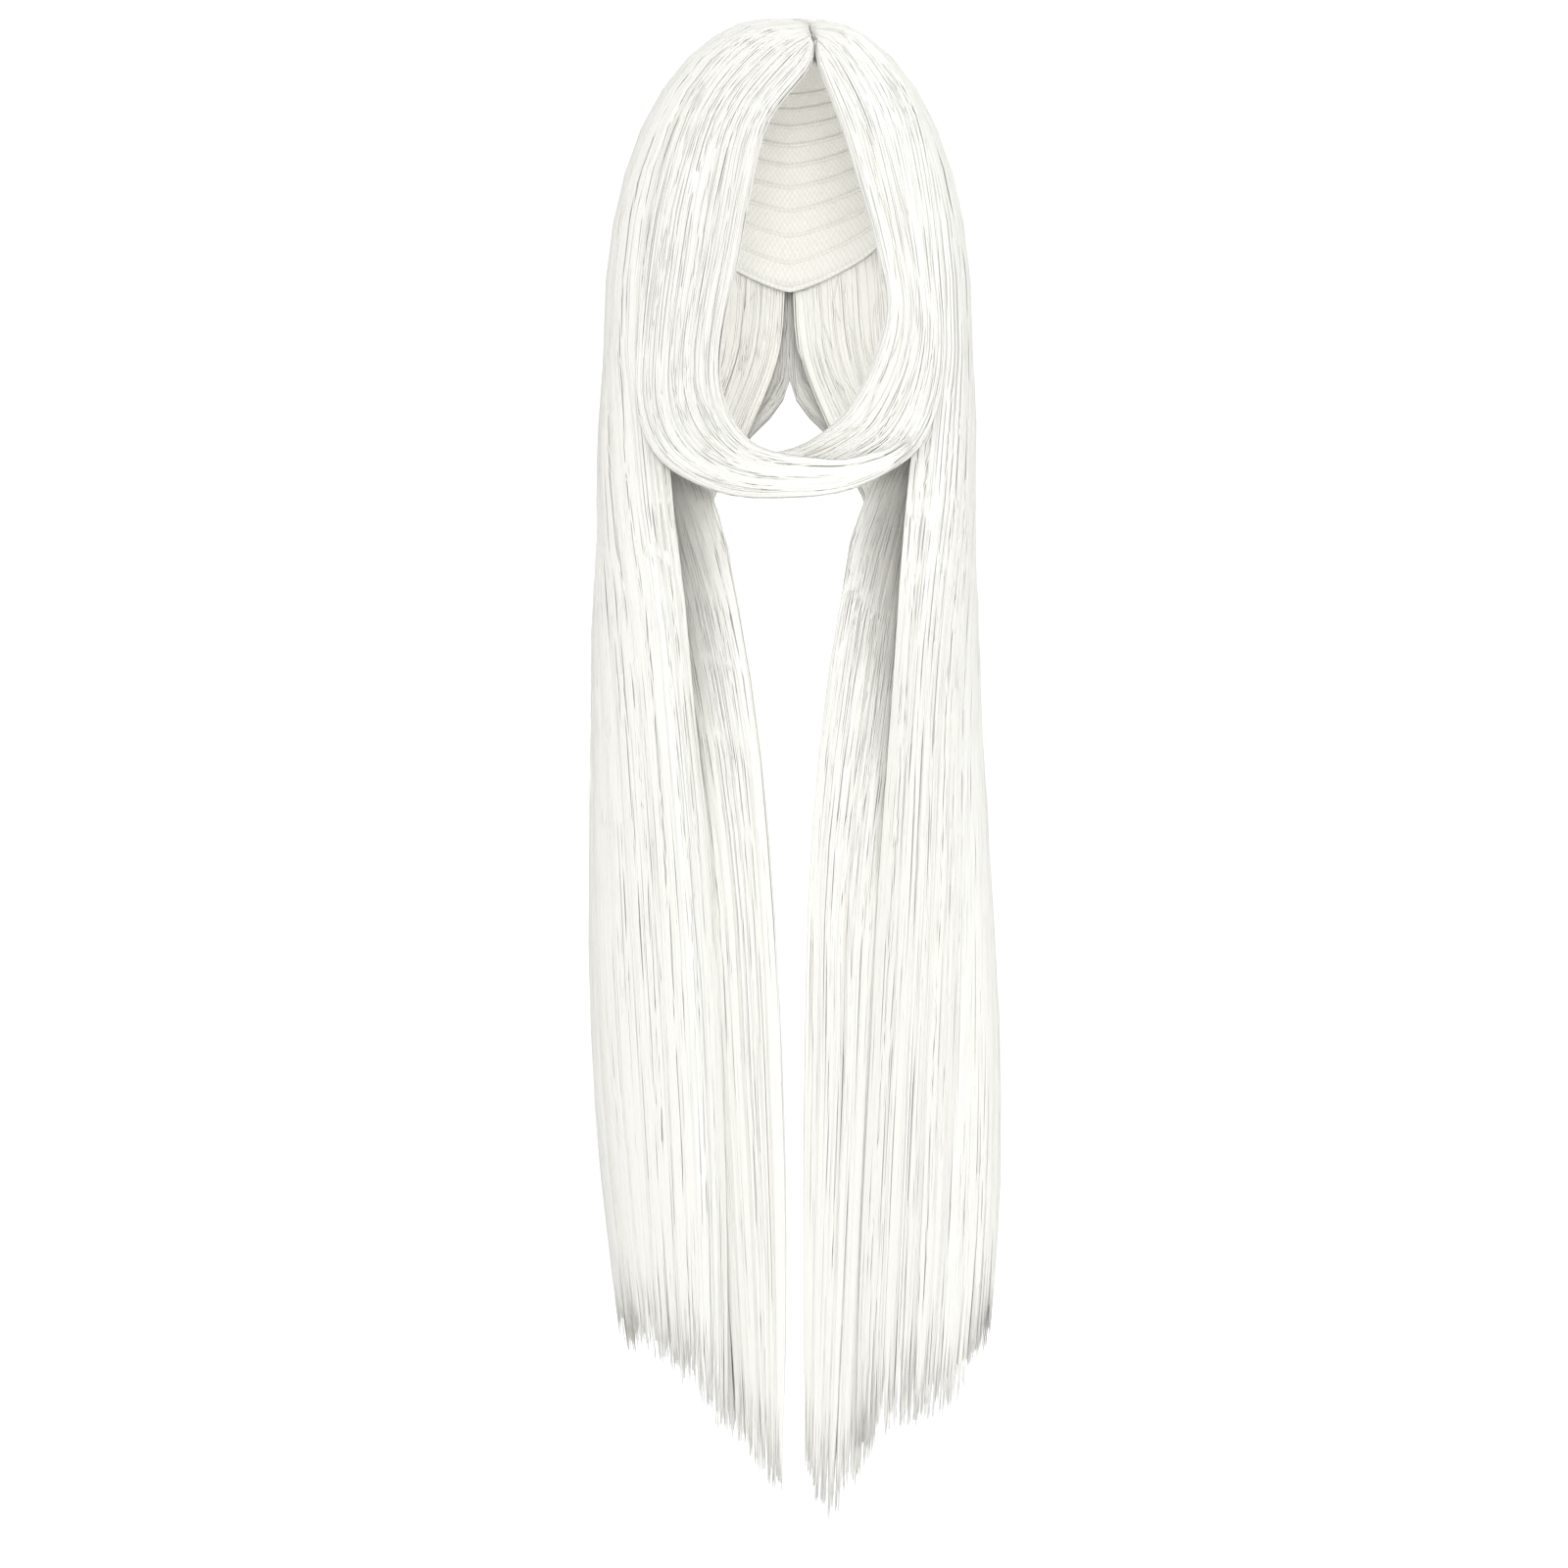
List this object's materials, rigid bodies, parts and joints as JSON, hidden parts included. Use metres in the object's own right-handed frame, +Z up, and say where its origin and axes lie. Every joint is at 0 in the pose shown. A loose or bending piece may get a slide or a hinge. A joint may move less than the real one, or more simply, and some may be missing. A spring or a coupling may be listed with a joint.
{
  "type": "long straight costume wig",
  "caption": "Very long straight white wig, parted at the crown, with front locks that run beside the face and cross under the chin.",
  "frame": {"origin": "inside of the cap at the crown of the wearer's head", "axes": "+Z up, -Y the way the wearer faces, +X to the right as seen from the front"},
  "size_m": [0.2585, 0.2272, 0.945],
  "materials": {
    "cap_net": "elastic net with sewn wefts, matte",
    "outer_hair": "straight synthetic fibre, warm white, soft sheen",
    "under_hair": "straight synthetic fibre, warm white, soft sheen",
    "front_hair": "straight synthetic fibre, warm white, soft sheen"
  },
  "bodies": {
    "root": {"wig_cap": "cap_net", "outer_hair_left": "outer_hair", "under_hair_left": "under_hair", "front_lock_left_1": "front_hair", "front_lock_left_2": "front_hair", "front_lock_left_3": "front_hair", "outer_hair_right": "outer_hair", "under_hair_right": "under_hair", "front_lock_right_1": "front_hair", "front_lock_right_2": "front_hair", "front_lock_right_3": "front_hair"}
  },
  "joints": []
}
